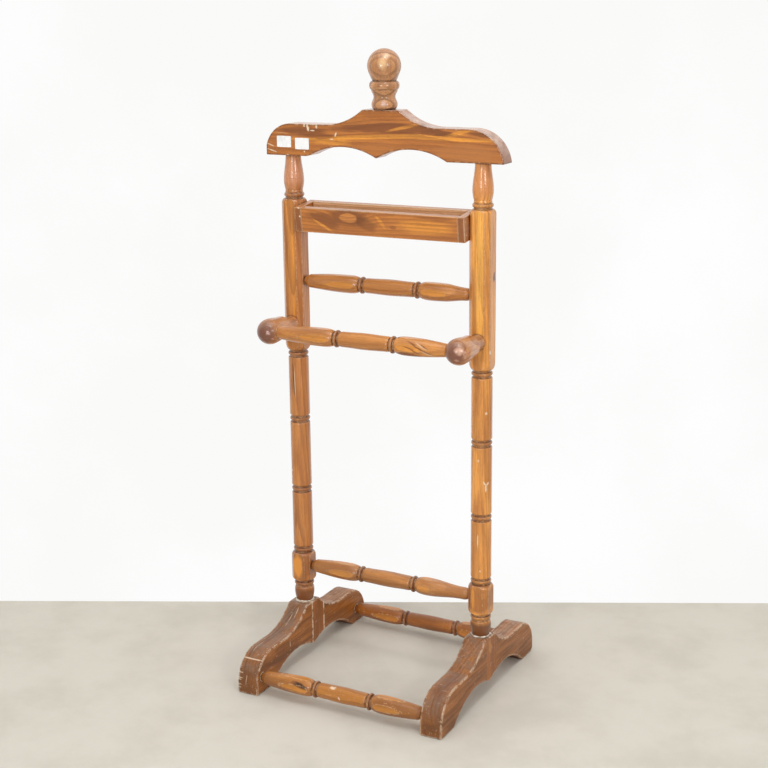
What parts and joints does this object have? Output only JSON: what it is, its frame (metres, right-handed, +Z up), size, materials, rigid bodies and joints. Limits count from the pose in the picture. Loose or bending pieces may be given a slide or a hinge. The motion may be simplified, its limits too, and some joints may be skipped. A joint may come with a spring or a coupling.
{
  "type": "clothes valet stand",
  "caption": "Free-standing turned pine valet stand with arched feet, cross bars, trouser bar on arms, shallow tray, shaped hanger board and ball finial.",
  "frame": {"origin": "on the floor, midway between the two feet and midway along them", "axes": "+Z up, +X to the stand's right as seen from the front, -Y the front that the tray and the arms face"},
  "size_m": [0.45, 0.4, 1.12],
  "materials": {
    "foot_wood": "satin",
    "foot_bar_wood": "satin",
    "post_wood": "satin",
    "bar_wood": "satin",
    "arm_wood": "satin",
    "tray_wood": "satin",
    "hanger_wood": "satin",
    "finial_wood": "satin",
    "dowel_wood": "matte",
    "fixings": "satin"
  },
  "bodies": {
    "root": {"left_foot_front": "foot_wood", "left_foot_core": "foot_wood", "left_foot_rear": "foot_wood", "left_foot_dowels": "dowel_wood", "right_foot_front": "foot_wood", "right_foot_core": "foot_wood", "right_foot_rear": "foot_wood", "right_foot_dowels": "dowel_wood", "front_foot_bar": "foot_bar_wood", "rear_foot_bar": "foot_bar_wood", "left_post": "post_wood", "right_post": "post_wood", "lower_bar": "bar_wood", "middle_bar": "bar_wood", "left_arm": "arm_wood", "right_arm": "arm_wood", "arm_dowels": "dowel_wood", "trouser_bar": "bar_wood", "tray_front": "tray_wood", "tray_back": "tray_wood", "tray_left_end": "tray_wood", "tray_right_end": "tray_wood", "tray_bottom": "tray_wood", "tray_screws": "fixings", "tray_pins": "fixings", "hanger_board": "hanger_wood", "finial_dowel": "dowel_wood", "finial": "finial_wood"}
  },
  "joints": []
}
